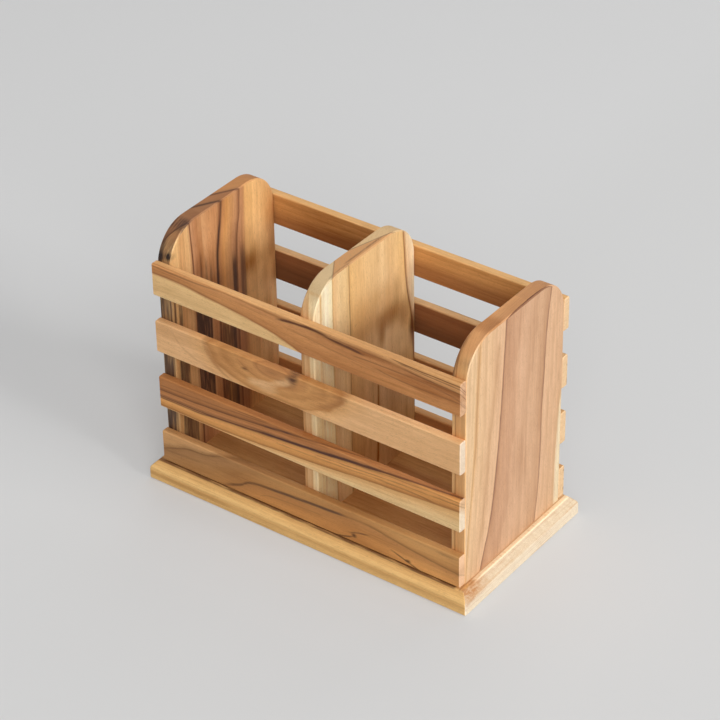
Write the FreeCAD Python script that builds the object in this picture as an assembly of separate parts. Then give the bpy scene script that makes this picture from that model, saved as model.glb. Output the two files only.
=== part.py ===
"""Open flatware caddy in teak, built as the workshop builds it.

Three upright boards (two ends and a divider) stand on a chamfered base board.
Four slats run along each long side, on the boards' front and back edges.
Screws come up through the base into the boards, and headless pins hold the slats.

Frame: millimetres, +X along the caddy's length, +Y to the back, +Z up.
The origin is the middle of the base board's underside.
"""
import FreeCAD
import Part
import math
import os

# ---------------------------------------------------------------- driving dimensions

# Upright boards: the two ends and the divider share one outline.
body_length = 224.0          # over the outer faces of the two end boards
board_depth = 101.2          # front edge to back edge of a board
board_thickness = 10.1
board_rise = 19.9            # how far the boards stand above the top slats
shoulder_radius = 25.0       # the two rounded top corners
board_bevel = 0.7            # bevel along the board's outline on both faces

# Slats.
slats_per_side = 4
slat_width = 22.4
slat_thickness = 5.6
slat_gap = 18.3              # clear height between two slats
slat_arris = 1.2             # rounding of the four long edges
slat_end_bevel = 0.5         # bevel around each end
slat_seat_clearance = 0.2    # between the lowest slats and the base board

# Base board.
base_thickness = 13.8
base_land = 8.2              # height of the upright edge under the chamfer
base_chamfer_inset = 5.0     # how far the chamfer leans in
base_end_margin = 3.0        # flat strip left showing beyond the end boards
base_side_margin = 0.4       # flat strip left showing beyond the slats
base_land_arris = 3.0        # rounding between land and chamfer
base_corner_arris = 1.2      # rounding of the four mitred corners
base_top_arris = 1.2         # rounding between chamfer and top face
base_foot_bevel = 0.8        # bevel along the underside

# Headless pins of square wire, through each slat into the board behind it.
pins_per_joint = 2
pin_wire = 0.9               # side of the square wire
pin_length = 18.0
pin_point = 1.2              # length of the chisel point
pin_pitch = 11.0             # between the pins of one joint
pin_set = 0.8                # depth of the filled mark over a pin
pin_clearance = 0.02         # around a pin and past its point

# Countersunk screws through the base board, two up into each upright board.
screw_edge_distance = 25.6   # from the board's front or back edge
screw_length = 32.0
screw_diameter = 3.5
screw_point = 5.0            # length of the tapered point
screw_head_diameter = 7.0
screw_sink = 0.6             # head below the base board's underside
screw_hole_clearance = 0.15  # around the head and shank in the base board
screw_pilot_clearance = 0.02 # around the shank and past its tip in a board
recess_span = 3.4            # cross recess, tip to tip
recess_blade = 0.8
recess_depth = 1.5

# ---------------------------------------------------------------- worked-out sizes and places

slat_pitch = slat_width + slat_gap
lowest_slat_z = base_thickness + slat_seat_clearance
top_slat_z = lowest_slat_z + (slats_per_side - 1) * slat_pitch
board_top = top_slat_z + slat_width + board_rise
body_depth = board_depth + 2 * slat_thickness
base_length = body_length + 2 * (base_end_margin + base_chamfer_inset)
base_depth = body_depth + 2 * (base_side_margin + base_chamfer_inset)
end_board_x = (body_length - board_thickness) / 2
screw_y = board_depth / 2 - screw_edge_distance

BOARD_PLACES = {
    "left_end_board": -end_board_x,
    "divider_board": 0.0,
    "right_end_board": end_board_x,
}
SIDES = {"front": -1, "back": 1}

X_AXIS = FreeCAD.Vector(1, 0, 0)
Y_AXIS = FreeCAD.Vector(0, 1, 0)
Z_AXIS = FreeCAD.Vector(0, 0, 1)


# ---------------------------------------------------------------- helpers

def spread(count, pitch):
    """Places of count things at one pitch, centred on zero."""
    return [(i - (count - 1) / 2) * pitch for i in range(count)]


def rounded_face(corners, radii):
    """Flat face from corner points, each corner rounded by its own radius.

    Neighbouring corners share their edge, so a radius is limited by the edges beside it.
    """
    count = len(corners)
    starts = []
    ends = []
    middles = []
    for i in range(count):
        corner = corners[i]
        back = (corners[i - 1] - corner).normalize()
        ahead = (corners[(i + 1) % count] - corner).normalize()
        half = back.getAngle(ahead) / 2
        reach = radii[i] / math.tan(half)
        inward = (back + ahead).normalize()
        starts.append(corner + back * reach)
        ends.append(corner + ahead * reach)
        middles.append(corner + inward * (radii[i] / math.sin(half) - radii[i]))
    edges = []
    for i in range(count):
        if radii[i] > 0:
            edges.append(Part.Arc(starts[i], middles[i], ends[i]).toShape())
        edges.append(Part.LineSegment(ends[i], starts[(i + 1) % count]).toShape())
    return Part.Face(Part.Wire(edges))


def edges_in_plane(solid, axis, value):
    """The solid's edges that lie in one plane square to an axis."""
    box_ends = {"x": ("XMin", "XMax"), "y": ("YMin", "YMax"), "z": ("ZMin", "ZMax")}[axis]
    found = []
    for edge in solid.Edges:
        box = edge.BoundBox
        if all(abs(getattr(box, end) - value) < 1e-4 for end in box_ends):
            found.append(edge)
    return found


def turned(place, outline):
    """Round solid from (radius, height) points, turned about the upright line through a place."""
    points = [place + X_AXIS * radius + Z_AXIS * height for radius, height in outline]
    face = Part.Face(Part.makePolygon(points + points[:1]))
    return face.revolve(place, Z_AXIS, 360)


# ---------------------------------------------------------------- places of the fasteners

def slat_levels():
    """Height of each slat's lower edge, top slat first."""
    return [top_slat_z - i * slat_pitch for i in range(slats_per_side)]


def pin_places():
    """Each slat pin's head and its side, front or back."""
    places = []
    for side in SIDES.values():
        for level in slat_levels():
            for board_x in BOARD_PLACES.values():
                for rise in spread(pins_per_joint, pin_pitch):
                    head_y = side * (body_depth / 2 - pin_set)
                    places.append((FreeCAD.Vector(board_x, head_y, level + slat_width / 2 + rise), side))
    return places


def screw_places():
    """Centre of each screw head's outer face."""
    places = []
    for board_x in BOARD_PLACES.values():
        for side in SIDES.values():
            places.append(FreeCAD.Vector(board_x, side * screw_y, screw_sink))
    return places


# ---------------------------------------------------------------- pieces

def base_edge_face(half_width, across):
    """Cross-section of the base board: land, chamfer and top, the same on every side."""
    outline = [
        (-half_width, 0.0, 0.0),
        (half_width, 0.0, 0.0),
        (half_width, base_land, base_land_arris),
        (half_width - base_chamfer_inset, base_thickness, 0.0),
        (base_chamfer_inset - half_width, base_thickness, 0.0),
        (-half_width, base_land, base_land_arris),
    ]
    corners = [across * width + Z_AXIS * height for width, height, _ in outline]
    radii = [radius for _, _, radius in outline]
    return rounded_face(corners, radii)


def corner_edges(solid):
    """The rising edges of the base board's four mitred corners."""
    found = []
    for edge in solid.Edges:
        box = edge.BoundBox
        at_one_corner = box.XMin * box.XMax > 0 and box.YMin * box.YMax > 0
        if at_one_corner and box.ZLength > 1e-3:
            found.append(edge)
    return found


def make_base_board():
    """Base board: one moulded section along each way, mitred at the corners, every edge eased."""
    lengthwise = base_edge_face(base_depth / 2, Y_AXIS)
    lengthwise.translate(X_AXIS * (-base_length / 2))
    crosswise = base_edge_face(base_length / 2, X_AXIS)
    crosswise.translate(Y_AXIS * (-base_depth / 2))
    board = lengthwise.extrude(X_AXIS * base_length)
    board = board.common(crosswise.extrude(Y_AXIS * base_depth))
    board = board.makeFillet(base_corner_arris, corner_edges(board))
    board = board.makeFillet(base_top_arris, edges_in_plane(board, "z", base_thickness))
    board = board.makeChamfer(base_foot_bevel, edges_in_plane(board, "z", 0.0))
    return board.cut([countersink(place) for place in screw_places()])


def countersink(place):
    """Clearance hole with a conical seat for one screw head, up through the base board."""
    seat = screw_head_diameter / 2 + screw_hole_clearance
    shank = screw_diameter / 2 + screw_hole_clearance
    mouth = seat + screw_sink
    outline = [
        (0.0, -screw_sink),
        (mouth, -screw_sink),
        (shank, seat - shank),
        (shank, base_thickness - screw_sink),
        (0.0, base_thickness - screw_sink),
    ]
    return turned(place, outline)


def make_upright_board(centre_x):
    """Upright board with two rounded shoulders, its outline bevelled on both faces."""
    half = board_depth / 2
    corners = [
        FreeCAD.Vector(0, -half, base_thickness),
        FreeCAD.Vector(0, half, base_thickness),
        FreeCAD.Vector(0, half, board_top),
        FreeCAD.Vector(0, -half, board_top),
    ]
    face = rounded_face(corners, [0, 0, shoulder_radius, shoulder_radius])
    face.translate(X_AXIS * (centre_x - board_thickness / 2))
    board = face.extrude(X_AXIS * board_thickness)
    outline = []
    for side_x in (centre_x - board_thickness / 2, centre_x + board_thickness / 2):
        for edge in edges_in_plane(board, "x", side_x):
            if edge.BoundBox.ZMax > base_thickness + 1e-3:
                outline.append(edge)
    board = board.makeChamfer(board_bevel, outline)
    return board.cut(pin_holes() + [pilot_hole(place) for place in screw_places()])


def make_slat(side, level):
    """Slat with rounded long edges and bevelled ends, fixed on the boards' edges on one side."""
    inner = side * board_depth / 2
    outer = side * body_depth / 2
    corners = [
        FreeCAD.Vector(0, inner, level),
        FreeCAD.Vector(0, outer, level),
        FreeCAD.Vector(0, outer, level + slat_width),
        FreeCAD.Vector(0, inner, level + slat_width),
    ]
    face = rounded_face(corners, [slat_arris] * 4)
    face.translate(X_AXIS * (-body_length / 2))
    slat = face.extrude(X_AXIS * body_length)
    ends = edges_in_plane(slat, "x", -body_length / 2) + edges_in_plane(slat, "x", body_length / 2)
    slat = slat.makeChamfer(slat_end_bevel, ends)
    return slat.cut(pin_holes())


def make_screw(place):
    """Countersunk wood screw with a cross recess, head down."""
    head = screw_head_diameter / 2
    shank = screw_diameter / 2
    outline = [
        (0.0, 0.0),
        (head, 0.0),
        (shank, head - shank),
        (shank, screw_length - screw_point),
        (0.0, screw_length),
    ]
    recess = []
    for length, width in ((recess_span, recess_blade), (recess_blade, recess_span)):
        corner = place - X_AXIS * (length / 2) - Y_AXIS * (width / 2)
        recess.append(Part.makeBox(length, width, recess_depth, corner))
    return turned(place, outline).cut(recess)


def pilot_hole(place):
    """Drilled hole for one screw's shank, up into an upright board."""
    mouth = FreeCAD.Vector(place.x, place.y, base_thickness)
    depth = screw_sink + screw_length + screw_pilot_clearance - base_thickness
    return Part.makeCylinder(screw_diameter / 2 + screw_pilot_clearance, depth, mouth, Z_AXIS)


def make_pin(head, side, clearance=0.0):
    """Headless pin of square wire with a chisel point, larger by a clearance to make its hole."""
    half = pin_wire / 2 + clearance
    length = pin_length + clearance
    inward = Y_AXIS * -side
    start = head - X_AXIS * half
    outline = [
        start + Z_AXIS * half,
        start + Z_AXIS * half + inward * (length - pin_point),
        start + inward * length,
        start - Z_AXIS * half + inward * (length - pin_point),
        start - Z_AXIS * half,
    ]
    return Part.Face(Part.makePolygon(outline + outline[:1])).extrude(X_AXIS * (2 * half))


def pin_holes():
    """The holes of all the slat pins."""
    return [make_pin(head, side, pin_clearance) for head, side in pin_places()]


# ---------------------------------------------------------------- the caddy

def build():
    """All sub-parts by node name."""
    nodes = {"base_board": make_base_board()}
    for name, centre_x in BOARD_PLACES.items():
        nodes[name] = make_upright_board(centre_x)
    for side_name, side in SIDES.items():
        for number, level in enumerate(slat_levels(), start=1):
            nodes[f"{side_name}_slat_{number}"] = make_slat(side, level)
    nodes["base_screws"] = Part.makeCompound([make_screw(place) for place in screw_places()])
    nodes["slat_pins"] = Part.makeCompound([make_pin(head, side) for head, side in pin_places()])
    return nodes


os.makedirs("parts", exist_ok=True)
for node_name, shape in build().items():
    shape.exportStep(os.path.join("parts", node_name + ".step"))
    print(node_name, "solids", len(shape.Solids), "volume", round(shape.Volume, 1), "valid", shape.isValid())
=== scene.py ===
# %% [markdown]
# # A slatted teak caddy for flatware
# The caddy is joiner's work: three upright boards stand on a chamfered base board, four thin slats
# run along each long side, headless pins hold the slats and six screws come up through the base.
# The solids already have the right shape, so most of this lesson is about teak: how growth rings,
# pores, end grain and sanded edges are made with shader nodes, board by board.
# All sizes are metres, in the same frame as the solids: +X towards the right end board, +Z up.

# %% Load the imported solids
import math

import bmesh
import bpy
from mathutils import Matrix, Vector


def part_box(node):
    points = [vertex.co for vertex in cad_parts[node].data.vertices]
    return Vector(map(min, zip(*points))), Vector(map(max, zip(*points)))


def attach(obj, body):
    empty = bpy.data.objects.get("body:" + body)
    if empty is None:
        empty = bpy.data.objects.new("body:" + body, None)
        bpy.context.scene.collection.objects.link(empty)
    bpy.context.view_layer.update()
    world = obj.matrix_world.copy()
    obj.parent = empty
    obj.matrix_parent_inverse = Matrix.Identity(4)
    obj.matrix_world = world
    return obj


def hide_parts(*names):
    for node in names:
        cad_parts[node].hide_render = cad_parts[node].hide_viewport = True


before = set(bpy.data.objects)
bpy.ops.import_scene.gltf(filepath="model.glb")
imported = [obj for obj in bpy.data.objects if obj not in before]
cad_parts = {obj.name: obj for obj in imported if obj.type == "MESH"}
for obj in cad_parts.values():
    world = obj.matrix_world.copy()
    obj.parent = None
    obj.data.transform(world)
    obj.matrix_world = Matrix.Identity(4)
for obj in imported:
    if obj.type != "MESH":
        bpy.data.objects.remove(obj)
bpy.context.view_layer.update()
scene = bpy.context.scene
print("solids:", len(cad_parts))

# %% [markdown]
# ## Sizes that the finishes need
# A wood finish has to know where its board begins, because the grain is drawn in millimetres from
# the board's own edges. The sizes could be typed in, but then a change in the solids would leave
# the figure behind. Reading each solid's box keeps the two together.

# %% Measure the boards
MILLIMETRES = 1000.0


def faces_of(node):
    """Lowest and highest x, y and z of a solid, in millimetres."""
    low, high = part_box(node)
    return [value * MILLIMETRES for value in low], [value * MILLIMETRES for value in high]


left_low, left_high = faces_of("left_end_board")
middle_low, middle_high = faces_of("divider_board")
right_low, right_high = faces_of("right_end_board")
print("end boards from x", round(left_low[0], 2), "to", round(right_high[0], 2), "mm")

# %% [markdown]
# ## Camera
# A caddy looks most like itself from above one corner: the front slats, the right end board and
# both compartments show at once. A long lens keeps the upright boards nearly parallel. The camera
# could be aimed with a constraint, but three angles and a place say exactly the same in every run.

# %% Place the camera
turn = math.radians(36.770)
pitch = math.radians(33.968)
roll = math.radians(-1.044)
camera_place = Vector((0.8246, -1.1030, 1.0289))

level_away = Vector((math.sin(turn), -math.cos(turn), 0.0))
away = level_away * math.cos(pitch) + Vector((0.0, 0.0, math.sin(pitch)))
level_right = Vector((math.cos(turn), math.sin(turn), 0.0))
level_up = away.cross(level_right)
camera_right = level_right * math.cos(roll) + level_up * math.sin(roll)
camera_up = level_up * math.cos(roll) - level_right * math.sin(roll)

lens = bpy.data.cameras.new("corner_view")
lens.lens = 138.12
lens.sensor_width = 36.0
camera = bpy.data.objects.new("corner_view", lens)
camera_axes = Matrix((camera_right, camera_up, away)).transposed().to_4x4()
camera.matrix_world = Matrix.Translation(camera_place) @ camera_axes
scene.collection.objects.link(camera)
scene.camera = camera
scene.view_settings.view_transform = "Standard"
print("camera", round(camera_place.length, 3), "m from the caddy's foot")

# %% [markdown]
# ## Shader maths written as maths
# A finish is a long sum: stripes plus streaks minus pores. Wiring Math nodes by hand hides that
# sum. A small class that wraps a socket and answers to + - * / turns each line of Python into the
# nodes that do it, so the recipe for the wood can be read from left to right.

# %% A socket that can be calculated with
class Wire:
    """One output socket of a node diagram, which can be added, multiplied and so on."""

    def __init__(self, diagram, socket):
        self.diagram = diagram
        self.socket = socket

    def maths(self, operation, *others):
        sockets = dict(enumerate((self,) + others))
        return self.diagram.node("ShaderNodeMath", {"operation": operation}, sockets)

    def reflected(self, operation, first):
        return self.diagram.node("ShaderNodeMath", {"operation": operation}, {0: first, 1: self})

    def __add__(self, other):
        return self.maths("ADD", other)

    def __sub__(self, other):
        return self.maths("SUBTRACT", other)

    def __rsub__(self, other):
        return self.reflected("SUBTRACT", other)

    def __mul__(self, other):
        return self.maths("MULTIPLY", other)

    def __truediv__(self, other):
        return self.maths("DIVIDE", other)

    def __rtruediv__(self, other):
        return self.reflected("DIVIDE", other)

    __radd__ = __add__
    __rmul__ = __mul__

    def __abs__(self):
        return self.maths("ABSOLUTE")

    def root(self):
        return self.maths("SQRT")

    def sign(self):
        return self.maths("SIGN")

    def fraction(self):
        return self.maths("FRACT")

    def at_least(self, least):
        return self.maths("MAXIMUM", least)

    def held(self):
        return self.diagram.node("ShaderNodeClamp", {}, {"Value": self})

    def rise(self, low, high):
        """0 below low, 1 above high, and a smooth step between."""
        settings = {"interpolation_type": "SMOOTHSTEP"}
        sockets = {"Value": self, "From Min": low, "From Max": high}
        return self.diagram.node("ShaderNodeMapRange", settings, sockets)

    def fall(self, low, high):
        """1 below low, 0 above high, and a smooth step between."""
        return 1.0 - self.rise(low, high)


# %% [markdown]
# ## One diagram at a time
# Materials, the room's light and Geometry Nodes are all diagrams of nodes. Every node comes from
# the same method: first its settings, which can change the sockets that it has, then the numbers
# and links of the sockets. Sockets that share a name are picked by their place in the row. Two
# settings need more than a plain value: the stops of a colour ramp and the points of a curve.

# %% Make nodes
def lay_stops(ramp, stops):
    """Gives a colour ramp its stops, a list of (position, colour)."""
    while len(ramp.elements) > 1:
        ramp.elements.remove(ramp.elements[-1])
    ramp.elements[0].position = stops[0][0]
    ramp.elements[0].color = stops[0][1]
    for position, colour in stops[1:]:
        ramp.elements.new(position).color = colour


def bend_curve(mapping, points):
    """Bends a float curve through its points, which run from 0 to 1."""
    curve = mapping.curves[0]
    curve.points[0].location = points[0]
    curve.points[1].location = points[-1]
    for point in points[1:-1]:
        curve.points.new(*point)
    mapping.update()


class Diagram:
    """A tree whose nodes are made one by one."""

    def __init__(self, tree):
        self.tree = tree

    def feed(self, socket, value):
        if isinstance(value, Wire):
            self.tree.links.new(value.socket, socket)
        else:
            socket.default_value = value

    def node(self, kind, settings, sockets, output=0):
        made = self.tree.nodes.new(kind)
        for name, value in settings.items():
            if name == "stops":
                lay_stops(made.color_ramp, value)
            elif name == "points":
                bend_curve(made.mapping, value)
            else:
                setattr(made, name, value)
        for name, value in sockets.items():
            self.feed(made.inputs[name], value)
        return Wire(self, made.outputs[output]) if len(made.outputs) else None


# %% [markdown]
# ## A finish
# A finish is the diagram of one material, with a few words of its own: where a point lies on the
# board, how squarely the surface faces, a cloudy noise, one colour laid over another. A colour
# could be darkened with plain grey, but oiled wood deepens towards red, so its deeper shades take
# least from the red, more from the green and most from the blue.

# %% A finish with its own words
DEEPENING = (0.78, 1.04, 1.32)


class Finish(Diagram):
    """The diagram of one material. The seed sets its noises apart from those of the others."""

    def __init__(self, name, seed=0.0):
        self.seed = seed
        self.material = bpy.data.materials.new(name)
        self.material.use_nodes = True
        super().__init__(self.material.node_tree)
        self.surface = self.tree.nodes["Principled BSDF"]

    def place(self):
        """x, y and z in millimetres, fixed to the wood."""
        where = self.node("ShaderNodeTexCoord", {}, {}, "Object")
        metres = [self.node("ShaderNodeSeparateXYZ", {}, {0: where}, axis) for axis in range(3)]
        return [value * MILLIMETRES for value in metres]

    def facing(self, axis):
        """How squarely the surface faces along x, y or z, from 0 to 1."""
        normal = self.node("ShaderNodeTexCoord", {}, {}, "Normal")
        return abs(self.node("ShaderNodeSeparateXYZ", {}, {0: normal}, axis))

    def noise(self, x, y, z, past_seed=0.0, detail=2.0):
        """A cloudy pattern around 0.5, as wide as x, y and z were divided by."""
        where = self.node("ShaderNodeCombineXYZ", {}, {0: x, 1: y, 2: z})
        sockets = {"Vector": where, "W": self.seed + past_seed, "Scale": 1.0, "Detail": detail}
        return self.node("ShaderNodeTexNoise", {"noise_dimensions": "4D"}, sockets)

    def blend(self, mask, under, over):
        """One colour over another where the mask is 1."""
        return self.node("ShaderNodeMix", {"data_type": "RGBA"}, {0: mask, 6: under, 7: over}, 2)

    def deepened(self, colour, amount):
        """A colour made darker and redder by an amount, or paler by a negative one."""
        left = {part: 1.0 - amount * taken for part, taken in enumerate(DEEPENING)}
        factors = self.node("ShaderNodeCombineXYZ", {}, left)
        return self.node("ShaderNodeVectorMath", {"operation": "MULTIPLY"}, {0: colour, 1: factors})

    def dress(self, node):
        """Gives this material to every slot of a solid."""
        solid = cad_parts[node]
        for slot in solid.material_slots:
            slot.material = self.material
        print(node, "is dressed with", len(self.tree.nodes), "nodes")


def tint(red, green, blue):
    """A colour as a paint chart gives it, 0 to 255, in the linear parts that shaders take."""
    parts = []
    for part in (red, green, blue):
        share = part / 255.0
        parts.append(share / 12.92 if share <= 0.04045 else ((share + 0.055) / 1.055) ** 2.4)
    return (*parts, 1.0)


print("a mid teak tone is", tuple(round(part, 3) for part in tint(208, 150, 98)))

# %% [markdown]
# ## Floor
# The caddy stands on a seamless sheet of pale paper. One large rectangle is enough, and it lies a
# hair under the base, so that the two never share a plane.

# %% Lay the paper
paper_half = 6.0
paper_corners = [(-1, -1), (1, -1), (1, 1), (-1, 1)]
paper_mesh = bpy.data.meshes.new("paper")
paper_depth = -0.0002
paper_points = [(x * paper_half, y * paper_half, paper_depth) for x, y in paper_corners]
paper_mesh.from_pydata(paper_points, [], [(0, 1, 2, 3)])
paper = bpy.data.objects.new("paper", paper_mesh)
scene.collection.objects.link(paper)
print("paper", 2 * paper_half, "m square")

# %% [markdown]
# Paper throws light back at whatever stands on it, and that light could wash out the wood. So the
# sheet is whiter to look at than to the bounced light. It also keeps half of its own brightness in
# the shadow. Behind the left end board, on the side away from the window, it keeps much less, and
# the shade stays deep there.

# %% Finish the paper
def seen_rays(diagram):
    """1 for rays that are looked along, straight or by a shine, and 0 for bounced light."""
    seen = diagram.node("ShaderNodeLightPath", {}, {}, "Is Camera Ray")
    glossy = diagram.node("ShaderNodeLightPath", {}, {}, "Is Glossy Ray")
    passing = diagram.node("ShaderNodeLightPath", {}, {}, "Is Transmission Ray")
    return (seen + glossy + passing).held()


paper_finish = Finish("paper_white")
looked_at = seen_rays(paper_finish)
bounced_white = (0.60, 0.60, 0.60, 1.0)
seen_white = (0.81, 0.81, 0.81, 1.0)
own_white = (0.61, 0.61, 0.605, 1.0)
sheet_colour = paper_finish.blend(looked_at, bounced_white, seen_white)
paper_finish.feed(paper_finish.surface.inputs["Base Color"], sheet_colour)
paper_finish.surface.inputs["Roughness"].default_value = 0.9
glow = paper_finish.node("ShaderNodeEmission", {}, {"Color": own_white, "Strength": 1.0})
lit = Wire(paper_finish, paper_finish.surface.outputs[0])
paper_x, paper_y, _ = paper_finish.place()
shade_side = paper_x.fall(-150.0, -40.0) * paper_y.rise(-110.0, -20.0)
kept_in_light = 0.50
kept_in_shade = 0.12
kept = looked_at * (kept_in_light - shade_side * (kept_in_light - kept_in_shade))
softened = paper_finish.node("ShaderNodeMixShader", {}, {0: kept, 1: lit, 2: glow})
paper_finish.feed(paper_finish.tree.nodes["Material Output"].inputs["Surface"], softened)
paper_mesh.materials.append(paper_finish.material)
print("paper keeps", kept_in_light, "in the light and", kept_in_shade, "in the shade")

# %% [markdown]
# ## Light
# One wide, low window on the right rakes over the end board and leaves a soft edge of shade down
# inside each compartment. A point lamp would cut that edge hard. Four larger and weaker panels,
# overhead, in front and behind, keep the other sides readable, and the room adds a little more.
# Beyond the paper the room is pale to look at, but it lights the caddy far more weakly than that.

# %% Hang the lamps
def panel(name, turned, raised, distance, width, height, watts):
    """A soft rectangular lamp aimed at the middle of the caddy."""
    middle = Vector((0.0, 0.0, 0.1))
    sideways = math.radians(turned)
    upwards = math.radians(raised)
    flat = distance * math.cos(upwards)
    above = distance * math.sin(upwards)
    arm = Vector((flat * math.cos(sideways), flat * math.sin(sideways), above))
    data = bpy.data.lights.new(name, "AREA")
    data.shape = "RECTANGLE"
    data.size = width
    data.size_y = height
    data.energy = watts
    lamp = bpy.data.objects.new(name, data)
    aim = arm.to_track_quat("Z", "Y").to_matrix().to_4x4()
    lamp.matrix_world = Matrix.Translation(middle + arm) @ aim
    scene.collection.objects.link(lamp)


panel("window", 2.0, 21.0, 5.0, 1.8, 1.4, 138.0)
panel("ceiling", 0.0, 89.9, 3.5, 3.0, 3.0, 24.0)
panel("front_right", -48.0, 33.0, 7.0, 4.2, 3.5, 204.0)
panel("front_wall", -90.0, 40.0, 4.0, 2.6, 2.6, 11.0)
panel("rear_wall", 100.0, 45.0, 4.0, 2.4, 2.4, 24.0)

room = bpy.data.worlds.new("room")
room.use_nodes = True
scene.world = room
room_diagram = Diagram(room.node_tree)
room_light = {"Color": (1.0, 1.0, 1.0, 1.0), "Strength": 0.12}
far_wall = {"Color": (0.63, 0.63, 0.635, 1.0), "Strength": 1.0}
given = room_diagram.node("ShaderNodeBackground", {}, room_light)
shown = room_diagram.node("ShaderNodeBackground", {}, far_wall)
looked_past = seen_rays(room_diagram)
either = room_diagram.node("ShaderNodeMixShader", {}, {0: looked_past, 1: given, 2: shown})
room_diagram.feed(room.node_tree.nodes["World Output"].inputs["Surface"], either)

# %% [markdown]
# ## Growth rings drawn one by one
# Every board cut from a trunk shows its growth rings as lines along the grain. A wave texture
# would give each board the same stripes. Here a few lines are drawn on a board first, each through
# a handful of points, and the ring count between two lines is spread evenly.
# Everything else, such as colour, fine rings and pores, then follows the count, as in real wood.
# The grain of a board is three measures: along it, across it, and into its depth.

# %% Draw a line and count the rings
def traced(along, points):
    """Where a line is across the board, drawn through (along, across) points in millimetres."""
    first = points[0][0]
    reach = points[-1][0] - first
    sides = [side for _, side in points]
    low = min(sides) - 1.0
    span = max(sides) + 1.0 - low
    bent = [((length - first) / reach, (side - low) / span) for length, side in points]
    travelled = ((along - first) / reach).held()
    curve = along.diagram.node("ShaderNodeFloatCurve", {"points": bent}, {"Value": travelled})
    return curve * span + low


def ring_count(side, lines):
    """0 at the first line, 1 at the second, and so on, even between two lines."""
    count = 0.0
    for near, far in zip(lines, lines[1:]):
        count = ((side - near) / (far - near)).held() + count
    return count


def wavering(wood, grain, cut):
    """The place across the rings, a little wavy, because no grown line is straight."""
    along, across, depth = grain
    slow = wood.noise(along / 55.0, across / 12.0, depth / 12.0) - 0.5
    quick = wood.noise(along / 9.0, across / 1.6, depth / 1.6, 1.7) - 0.5
    return cut + slow * 1.8 + quick * 0.6


# %% [markdown]
# ## Marks on the wood
# A board also has marks that follow no ring: dark heart streaks, pale patches, a stain beside a
# knot. Three masks draw them all. An oval is soft all round, a band is a long soft rectangle, and
# a streak follows its own drawn line and fades out at both ends. A shade is a mask with a strength
# and deepens whatever tone is there, and a stain is a mask with a strength and a tone of its own.
# Some shades and stains are painted light and shade instead of marks in the wood, and a comment
# says so where they are used.

# %% Draw ovals, bands and streaks
def window(value, low, high, soft):
    """1 between low and high, fading out over the soft width at each."""
    return value.rise(low - soft, low + soft) * value.fall(high - soft, high + soft)


def oval(along, side, middle, size):
    long_way = (along - middle[0]) / size[0]
    short_way = (side - middle[1]) / size[1]
    return (long_way * long_way + short_way * short_way).root().fall(0.0, 1.0)


def band(along, side, length, edges):
    return window(along, *length, 7.0) * window(side, *edges, 0.8)


def streak(along, side, points, width):
    near = abs(side - traced(along, points)).fall(width * 0.15, width)
    return near * window(along, points[0][0], points[-1][0], 4.0)


def oval_shades(along, side, marks):
    """Shades from ovals, each given as (middle, size, strength)."""
    return [(oval(along, side, middle, size), strength) for middle, size, strength in marks]


def streak_stains(along, side, tone, marks):
    """Stains of one tone from streaks, each given as (points, width, strength)."""
    stains = []
    for points, width, strength in marks:
        stains.append((streak(along, side, points, width), strength, tone))
    return stains


# %% [markdown]
# ## Teak
# Oiled teak is a golden brown wood with dark lines, paler sapwood and open pores that show as
# short fine dashes along the grain. One function makes it, from large to small: tones by ring
# count, late wood that darkens each ring before the next begins, slow blotches, streaks, fibres
# and pores. Darker teak is also redder, so every darkening step takes more blue than red.
# End grain drinks more oil and gets tones of its own where the surface faces along the grain, and
# handling leaves the arrises a little paler and smoother; that paler colour is also a painted
# highlight along the edges. Fibres and pores also make the bump.
# The dark lines are named by their place in the list, with a strength and a reach to each side.

# %% The teak recipe
PORE_TONE = tint(104, 62, 34)
HEART_TONE = tint(74, 50, 40)
LINE_TONE = tint(116, 68, 38)


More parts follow.
